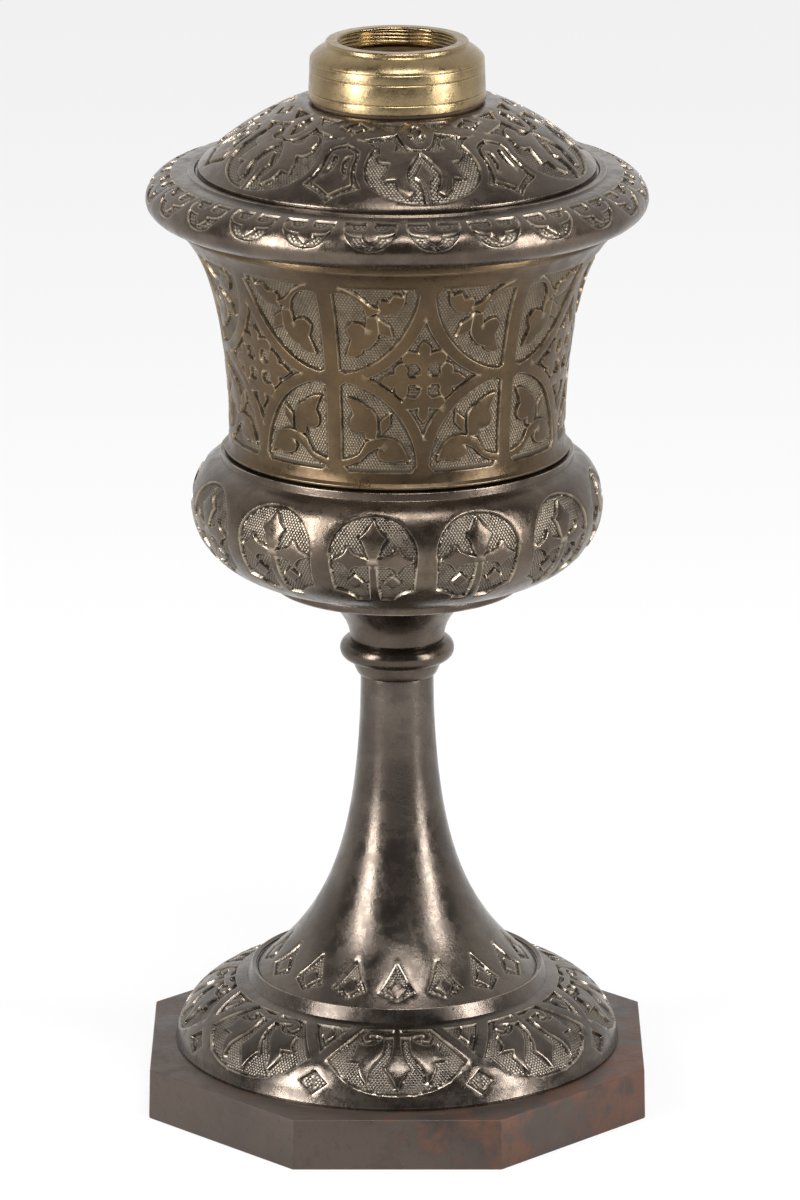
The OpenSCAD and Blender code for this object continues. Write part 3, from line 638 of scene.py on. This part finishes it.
STEM_REF, STEM_COPIES, PANEL_END = 34, 16, 0.83
stem_foot = [trumpet(t) for t in np.linspace(1, PANEL_END, 40)]
stem_skin, stem_low, stem_high = chart(stem_foot)
kite = both_sides([(0, 14.8), (3.5, 8.5), (5.3, 5.3)], [(5.3, 5.3), (2.6, 4)], [(2.6, 4), (0, 2.4)])
stem_rest = [*[trumpet(t) for t in np.linspace(PANEL_END, 0, 60)], (7, 118.1), (7, 122.7), (3.5, 122.7),
             (3.5, 118.1), *[(r - 2.8, z) for r, z in map(trumpet, np.linspace(0, 1, 40))], trumpet(1)]
stem_bronze = metal("stem_bronze", (0.130, 0.108, 0.088), (0.075, 0.060, 0.050), (0.062, 0.053, 0.045),
                    (0.46, 0.39, 0.31), rough=0.23, metallic=0.95)
dressed(carved("trumpet_stem", stem_skin, stem_low, stem_high, STEM_REF, STEM_COPIES, 0, [kite],
               [diamond(0, 6.5, 2.5, 2.5)], [], stem_rest, stem_bronze, depth=0.6, columns=12),
        "stand", "stem_bronze", "stem")

# The knop, the neck and the plate: three small turned bronzes, threaded on the rod between the stem
# and the bowl. They are plain, and their edges are painted light, as rubbed metal and as a painted highlight.
knop_bronze = metal("knop_bronze", (0.145, 0.114, 0.088), (0.080, 0.063, 0.050), (0.050, 0.040, 0.032),
                    (0.50, 0.42, 0.32), rough=0.23, metallic=0.95)
ovolo = [(10.45 + 1.65 * t ** 0.7, 118.1 + 4 * t) for t in np.linspace(0, 1, 10)]
dressed(turned("ringed_knop", [*ovolo, *quarter(12.4, 125.1, 3, 3, -88, 88, 20), (12.4, 128.1), (7.1, 128.1),
                               (7.1, 118.1)], knop_bronze), "stand", "knop_bronze", "knop")
cove = [(12.7 + 11.8 * t ** 2, 128.1 + 15.3 * t) for t in np.linspace(0, 1, 24)]
dressed(turned("coved_neck", [*cove, (21.5, 143.4), *[(r - 3, z) for r, z in cove[-2:5:-1]], (3.5, 131.1),
                              (3.5, 123.5), (7, 123.5), (7, 128.1)], knop_bronze), "stand", "neck_bronze", "neck")
dressed(turned("thin_plate", ring_outline(3.5, 33.5, 143.4, 145.9), knop_bronze, radius=0.5),
        "stand", "plate_bronze", "bowl_plate")

# The bowl: a bulbous bronze casting, the lower half of the urn. Twelve round-headed panels are chased
# round it, each with a cross on a stem between two small diamonds, on a punched ground.
bowl_bronze = metal("bowl_bronze", (0.142, 0.110, 0.084), (0.082, 0.063, 0.049), (0.070, 0.059, 0.048),
                    (0.50, 0.42, 0.32), rough=0.24, metallic=0.95)
BOWL_REF, BOWL_COPIES, BOWL_TURN = 52, 12, -6.7
bowl_swell = [*quarter(30, 166.1, 25.2, -20.2, 90, 0, 60), *quarter(46.8, 166.1, 8.4, 12.5, 2, 84, 40)]
bowl_skin, bowl_low, bowl_high = chart(bowl_swell)
arch = both_sides([(0, 19.6), (5.4, 19.6)], [(5.4, 19.6), (6.1, 21.2), (8.3, 23.1), (10.8, 24.2)],
                  [(10.8, 24.2), (11, 30), (11.3, 36)], quarter(0, 36, 11.3, 11, 0, 90, 8))
stem_cross = both_sides([(0, 45.3), (1.4, 42.4), (3.35, 40.3)], [(3.35, 40.3), (2.5, 39), (0.7, 34.3)],
                        [(0.7, 34.3), (4.9, 35.9), (6.3, 37.9)], [(6.3, 37.9), (7.6, 35.6), (10.1, 34)],
                        [(10.1, 34), (7.6, 32.8), (6.1, 30.7)], [(6.1, 30.7), (4.8, 32.4), (0.8, 32.9)],
                        [(0.8, 32.9), (1, 26), (1.5, 18.8)], [(1.5, 18.8), (0, 18.8)])
bowl_rest = [bowl_swell[-1], (47.3, 178.9), (47.3, 180.9), (44.4, 180.9), (44.4, 176), (39.4, 176), (39.4, 174.5),
             *quarter(46.8, 166.1, 5.8, 9.9, 58, 2, 14), *quarter(30, 166.1, 22.6, -17.2, 0, 90, 24),
             (3.5, 148.9), (3.5, 145.9), bowl_swell[0]]
dressed(carved("arched_bowl", bowl_skin, bowl_low, bowl_high, BOWL_REF, BOWL_COPIES, BOWL_TURN, [arch],
               [stem_cross, diamond(4.8, 27.4, 2.2, 2.2), diamond(-4.8, 27.4, 2.2, 2.2)], [], bowl_rest,
               bowl_bronze, columns=16), "stand", "bowl_bronze", "bowl")

# The drum: the flared upper wall of the urn. Six bays of tracery are chased into it: curved lozenges
# with a cross in each, and between their arcs quarter panels with ivy, all on a punched ground.
drum_bronze = metal("drum_bronze", (0.112, 0.074, 0.039), (0.070, 0.048, 0.028), (0.085, 0.070, 0.052),
                    (0.42, 0.33, 0.22), rough=0.31, metallic=0.92)
URN_TURN, DRUM_REF, DRUM_COPIES = 8.7, 47.5, 6
BAY = math.pi * DRUM_REF / DRUM_COPIES


def flare(z):
    t = max(0.0, (z - 186.9) / 55.1)
    return 45 + 13.2 * (0.66 * t ** 2 + 0.34 * t ** 8), z


drum_wall = [flare(z) for z in np.linspace(184, 239.6, 80)]
drum_skin, drum_low, drum_high = chart(drum_wall, heights=True)
lozenge = both_sides(quarter(BAY, 185.4, 26.5, 27.9, 159.8, 110.5, 9),
                     quarter(BAY, 237.6, 26.5, 27.9, 249.5, 200.2, 9))
upper_panel = loop([(3.4, 237.5), (3.2, 235.9)], [(3.2, 235.9), (1.83, 235.8)],
                   quarter(BAY, 237.6, 23.1, 25.4, 184, 260.9, 12), [(21.2, 212.5), (22.9, 213.2)],
                   [(22.9, 213.2), (22.9, 237.5)], [(22.9, 237.5), (3.4, 237.5)])
lower_panel = loop([(3.2, 185.7), (1.66, 187.6)], quarter(BAY, 185.4, 23.3, 25.1, 175, 99.1, 12),
                   [(21.2, 210.2), (22.9, 209)], [(22.9, 209), (22.9, 187.6)], [(22.9, 187.6), (21, 185.7)],
                   [(21, 185.7), (3.2, 185.7)])
fleury = both_sides([(0, 221.8), (1.5, 220.2), (1.3, 218.4)],
                    [(1.3, 218.4), (3, 218.9), (4.8, 218.9), (5.9, 217.3), (5, 215.7), (3.4, 215.9)],
                    [(3.4, 215.9), (2, 215.9), (0.9, 214.4)], [(0.9, 214.4), (0.9, 212.8)], [(0.9, 212.8), (1.9, 212.8)],
                    [(1.9, 212.8), (1.9, 211.9)], [(1.9, 211.9), (4, 211.9)],
                    [(4, 211.9), (4.6, 213), (4.5, 214.3), (6, 215.9), (7.7, 214.6), (7.8, 212.9)],
                    [(7.8, 212.9), (9.4, 212.6), (11.7, 210.9)], [(11.7, 210.9), (9.4, 209.4), (7.6, 209.1)],
                    [(7.6, 209.1), (7.5, 207.5), (5.8, 206.2), (4.4, 207.8), (4.5, 209), (4, 210.1)],
                    [(4, 210.1), (1.9, 210.1)], [(1.9, 210.1), (1.9, 209.2)], [(1.9, 209.2), (0.9, 209.2)],
                    [(0.9, 209.2), (0.9, 207.6)], [(0.9, 207.6), (2, 206.2), (3.4, 206.2)],
                    [(3.4, 206.2), (5, 206.4), (5.9, 204.9), (4.8, 203.4), (3, 203.2), (1.3, 203.6)],
                    [(1.3, 203.6), (1.5, 201.4), (0, 199.5)])
upper_twig = loop([(23.6, 238.4), (21.5, 238), (17, 235.2), (14, 232.3), (11.2, 230.9)], [(11.2, 230.9), (14.7, 229)],
                  [(14.7, 229), (15.5, 231.8), (18, 234.8), (21, 235.8), (23.6, 235)], [(23.6, 235), (23.6, 238.4)])
small_leaf = loop([(11.2, 231), (11.8, 232.6), (11, 233.6), (9, 233.5)], [(9, 233.5), (8, 235.5)],
                  [(8, 235.5), (5.8, 235), (5.2, 236.6)], [(5.2, 236.6), (5.5, 233.4), (6.2, 231.8), (7.5, 230.3)],
                  [(7.5, 230.3), (10, 229.7), (12, 229.9)], [(12, 229.9), (11.2, 231)])
large_leaf = loop([(14.7, 229), (15.1, 225.5)], [(15.1, 225.5), (16.5, 226.7), (18.5, 227), (20, 225.5)],
                  [(20, 225.5), (19.8, 224), (19, 222.3)], [(19, 222.3), (20.6, 217.6)],
                  [(20.6, 217.6), (18.5, 217.6), (16.5, 218.6), (16.2, 219.6)],
                  [(16.2, 219.6), (14, 220.5), (12, 223.8), (12.2, 229)], [(12.2, 229), (14.7, 229)])
lower_twig = loop([(23.6, 188.6), (21, 189.2), (18, 190.5), (15.8, 194)], [(15.8, 194), (13, 195.2)],
                  [(13, 195.2), (11.7, 192.7)], [(11.7, 192.7), (12.5, 192.6), (15, 191.2), (18, 188.6), (22, 187.2),
                                                 (23.6, 186.9)], [(23.6, 186.9), (23.6, 188.6)])
rising_leaf = loop([(13.2, 194.8), (12.7, 198), (13, 201), (14.5, 203)],
                   [(14.5, 203), (15.8, 203.6), (17, 204.6), (19, 205.6), (21.2, 205.9)],
                   [(21.2, 205.9), (20, 203.5), (19.3, 201.5)],
                   [(19.3, 201.5), (20.3, 199.5), (19.8, 197.5), (18, 196.7), (16.2, 197)], [(16.2, 197), (15.9, 195)],
                   [(15.9, 195), (13.2, 194.8)])
falling_leaf = loop([(13, 195), (11, 195.3), (8.5, 194.9), (6.6, 193.8), (5.2, 191.8), (4, 188.8)],
                    [(4, 188.8), (6, 189.2), (8, 188.8)], [(8, 188.8), (10.5, 189), (12.2, 189.8), (12.6, 191.5),
                                                          (11.7, 192.7)], [(11.7, 192.7), (13, 195)])
stars = (polygon((12, 228.3), (9.1, 226.3), (8.2, 223), (11.8, 224.4)),
         polygon((9.2, 201.8), (11.8, 199.7), (11.6, 196.1), (9.1, 198.9)))
drum_rest = [*[flare(z) for z in np.linspace(239.6, 242, 6)], (58.4, 242.4), (58.4, 243.9), (56.1, 243.9),
             *[(r - 2.3, z) for r, z in map(flare, np.linspace(242, 187, 40))], (42.7, 178.5), (39.4, 178.5),
             (39.4, 176), (44.4, 176), (44.4, 180.9), (45.2, 180.9), (46.2, 181.7), (46.2, 182.1), (45.4, 182.9),
             drum_wall[0]]
dressed(carved("tracery_drum", drum_skin, drum_low, drum_high, DRUM_REF, DRUM_COPIES, URN_TURN,
               [lozenge, *with_mirror(upper_panel, lower_panel)],
               [fleury, *with_mirror(upper_twig, small_leaf, large_leaf, lower_twig, rising_leaf, falling_leaf,
                                     *stars)], [], drum_rest, drum_bronze, columns=32),
        "stand", "drum_bronze", "drum")


# The screws up through the bowl's ledge, and those up through the cover's. They are small brass
# cheese-heads, seen only with the font lifted out.
def finished(node, material):
    """Gives a node its real finish."""
    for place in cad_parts[node].material_slots:
        place.material = material


screw_brass = metal("screw_brass", (0.55, 0.42, 0.22), (0.36, 0.27, 0.15), (0.12, 0.09, 0.05), (0.8, 0.66, 0.4))
for node in ("drum_screws", "rim_screws", "locating_pin"):
    finished(node, screw_brass)

# The cover's rim: a rolled bronze ring that rests on the drum's mouth and carries the dome. Twenty-four
# small panels with a leaf in each are chased round its shoulder.
cover_bronze = metal("rim_bronze", (0.138, 0.108, 0.084), (0.080, 0.062, 0.049), (0.070, 0.059, 0.048),
                     (0.50, 0.42, 0.32), rough=0.24, metallic=0.95)
RIM_REF, RIM_COPIES = 63, 24
rim_roll = [*quarter(59.3, 249.5, 7.4, 5.2, -60, 0, 24), *quarter(57.3, 249.5, 9.4, 7.3, 3, 90, 50)]
rim_skin, rim_low, rim_high = chart(rim_roll)
leaf_panel = both_sides([(0, 6.9), (2.4, 7.3), (4.3, 8.5), (6.2, 11), (7.1, 13.6)], [(7.1, 13.6), (7.1, 16.5)],
                        [(7.1, 16.5), (0, 16.7)])
rim_leaf = both_sides([(0, 17.4), (1.3, 17.4)], [(1.3, 17.4), (0.9, 15), (1.3, 13.3)],
                      [(1.3, 13.3), (3.2, 13), (4.6, 13.6), (5, 14.9), (6.2, 14.9), (6.6, 13.4), (5.6, 11.9),
                       (3.4, 11.3), (1.9, 11.3)], [(1.9, 11.3), (1.8, 10), (0, 8.5)])
rim_rest = [rim_roll[-1], (55.8, 256.8), (55.4, 257.45), (53.8, 257.45), (53.4, 256.8), (47.4, 256.8), (47.4, 254.4),
            (53.6, 254.4), (53.6, 240.4), (55.9, 240.4), (55.9, 243.9), (59, 243.9),
            *quarter(59.3, 249.5, 7.4, 5.2, -86, -60, 8)]
dressed(carved("rolled_rim", rim_skin, rim_low, rim_high, RIM_REF, RIM_COPIES, URN_TURN, [leaf_panel], [rim_leaf],
               [], rim_rest, cover_bronze, depth=0.6, punch=1.1, columns=10), "font", "rim_bronze", "cover_rim")

# The dome: the bronze cover over the font, screwed to the rim from below and held down by the collar.
# Six medallions with a lancet between two leaves are chased into it, with a lyre-shaped pendant between each
# two, and a ring of small trefoils, triangles and diamonds under the collar.
DOME_REF, DOME_COPIES, DOME_TURN = 42, 6, 9
DOME_R, DOME_CENTRE = 74.23, 206.22
DOME_SEAM = math.pi * DOME_REF / DOME_COPIES
dome_cap = [(r, DOME_CENTRE + math.sqrt(DOME_R ** 2 - r ** 2)) for r in np.linspace(52.4, 26.4, 60)]
dome_skin, dome_low, dome_high = chart(dome_cap)
medallion = both_sides([(0, 0.6), (4, 1.2), (7.5, 2.4), (10.5, 4), (13, 6.5), (14.5, 9), (15.2, 13), (14.8, 17),
                        (13.8, 20.1)], [(13.8, 20.1), (15.8, 21.9), (19, 22.7)],
                       [(19, 22.7), (14, 23.9), (8.3, 25.2), (6.5, 26)], [(6.5, 26), (5, 23), (3.8, 21), (2, 19.6)],
                       [(2, 19.6), (0, 19.2)])
dome_leaf = loop([(0.3, 18.4), (1.8, 18.7), (5, 18.3), (7.6, 19.2)],
                 [(7.6, 19.2), (7, 21.5), (8.3, 22.7), (10.5, 22.4), (11.8, 20.5), (11.3, 18)],
                 [(11.3, 18), (12.2, 16.8), (10.5, 15), (8.2, 14.6)], [(8.2, 14.6), (8.8, 13), (9.2, 11), (9.7, 8.6)],
                 [(9.7, 8.6), (6.8, 9)], [(6.8, 9), (6.6, 8), (6, 5.8), (3.8, 3.6)],
                 [(3.8, 3.6), (2.8, 5), (3.5, 6.5), (4.2, 9), (4.1, 12), (2.5, 15.5), (0.3, 18.4)])
arrow = both_sides([(0, 14.1), (2.1, 9.7)], [(2.1, 9.7), (1.1, 8.5)], [(1.1, 8.5), (0.6, 5), (0.5, 0.3)],
                   [(0.5, 0.3), (0, 0.3)])
trefoil = both_sides([(0, 20.6), (1.6, 22.2), (3.4, 24.7)], [(3.4, 24.7), (2.6, 25.4), (1.5, 25.3)],
                     [(1.5, 25.3), (2.2, 26.8), (1.5, 28.6), (0, 29.3)])
ring_triangle = polygon((3.4, 30.5), (15, 30.5), (7.7, 26.6))
pendant = both_sides([(0, 0.8), (2.5, 3.2), (6, 5), (7.1, 5.8)],
                     [(7.1, 5.8), (5.5, 9), (4.8, 13), (5, 16), (4.5, 18.6)], [(4.5, 18.6), (2.5, 20), (0, 20.8)])
lyre = both_sides([(0, 3.2), (2.4, 5.2), (4.6, 6.6)], [(4.6, 6.6), (3.9, 9.5), (3.5, 13), (3.7, 16), (3.2, 17.8)],
                  [(3.2, 17.8), (1.6, 18.8), (0, 19.2)])
lyre_slot = loop([(2.7, 16.8), (1.2, 16.2), (0.7, 14.2), (1.2, 11.2), (2.9, 9.2)], [(2.9, 9.2), (2.5, 13), (2.7, 16.8)])
inner_cap = [(r, DOME_CENTRE + math.sqrt((DOME_R - 2.2) ** 2 - r ** 2)) for r in np.linspace(25, 50.2, 20)]
dome_rest = [dome_cap[-1], (19.74, 275.6), (19.74, 273.4), (24.6, 273.4), *inner_cap, (50.2, 256.8), (52.8, 256.8),
             (52.8, 258.2), dome_cap[0]]
dressed(carved("medallion_dome", dome_skin, dome_low, dome_high, DOME_REF, DOME_COPIES, DOME_TURN,
               [medallion, trefoil, *with_mirror(ring_triangle),
                *at_seams(DOME_SEAM, pendant, diamond(0, 27.6, 5.9, 2.9))],
               [arrow, *with_mirror(dome_leaf), *at_seams(DOME_SEAM, lyre, diamond(0, 27.6, 2.9, 1.4))],
               at_seams(DOME_SEAM, lyre_slot, mirrored(lyre_slot)), dome_rest, cover_bronze, columns=32),
        "font", "dome_bronze", "cover_dome")

# The oil font: a soldered tin can with a turned brass neck, which hangs in the urn from the cover.
# The collar screws on its neck.
tin = metal("font_tin", (0.30, 0.29, 0.27), (0.20, 0.19, 0.175), (0.14, 0.13, 0.12), (0.6, 0.6, 0.58), rough=0.38)
for node in ("font_shoulder", "font_wall", "font_floor"):
    finished(node, tin)
neck_brass = metal("neck_brass", (0.50, 0.36, 0.18), (0.28, 0.20, 0.11), (0.08, 0.06, 0.035), (0.8, 0.64, 0.38))
finished("font_neck", neck_brass)

# The burner's collar: turned brass with three scribed lines and a fine thread in its mouth, gone
# golden brown, with a leather washer under it.
collar_brass = metal("collar_brass", (0.36, 0.27, 0.145), (0.25, 0.18, 0.095), (0.12, 0.08, 0.045),
                     (0.70, 0.56, 0.34), rough=0.26, metallic=1.0, cloud=60, speck=0.4)
COLLAR_Z, BAND_R, BAND_H, LIP_R, LIP_Z = bottom("collar"), 23.5, 10.5, 18.9, top("collar")
MOUTH_R, LAND_Z, EDGE = 15.7, LIP_Z - 4.6, 0.4
THREAD_PITCH, THREAD_DEPTH = 0.94, 0.45


def band(h):
    return BAND_R - 0.4 * h / BAND_H


def mouth_thread(r, z, angle):
    """The fine thread cut into the wall of the mouth."""
    phase = (z / THREAD_PITCH - angle / (2 * math.pi)) % 1
    wall = (abs(r - MOUTH_R) < 0.01) & (z > LAND_Z + 0.1) & (z < LIP_Z - EDGE - 0.1)
    return np.where(wall, r + THREAD_DEPTH * (1 - abs(2 * phase - 1)), r)


scribed = [(band(h) - cut, COLLAR_Z + h + up) for h in (2.4, 7.8, BAND_H)
           for up, cut in ((-0.25, 0), (0, 0.25), (0.25, 0))]
shoulder = [(23.1 - 3.5 * t, COLLAR_Z + BAND_H + 3.35 * (0.55 * t + 0.45 * math.sqrt(1 - (1 - t) ** 2)))
            for t in np.linspace(0.1, 1, 12)]
collar_outline = [(BAND_R, COLLAR_Z), *scribed, *shoulder, (19.13, LIP_Z - 1.42), (LIP_R, LIP_Z - 1.07),
                  (LIP_R, LIP_Z - EDGE), (LIP_R - EDGE, LIP_Z), (MOUTH_R + EDGE, LIP_Z),
                  *[(MOUTH_R, z) for z in np.arange(LIP_Z - EDGE, LAND_Z, -THREAD_PITCH / 8)],
                  (MOUTH_R, LAND_Z), (19.5, LAND_Z), (19.5, COLLAR_Z)]
dressed(turned("burner_collar", collar_outline, collar_brass, 240, 0.12, mouth_thread),
        "collar", "collar_brass", "collar")
leather = metal("washer_leather", (0.10, 0.06, 0.035), (0.06, 0.035, 0.02), (0.03, 0.02, 0.01), (0.2, 0.13, 0.08),
                rough=0.8, metallic=0.0)
finished("collar_washer", leather)
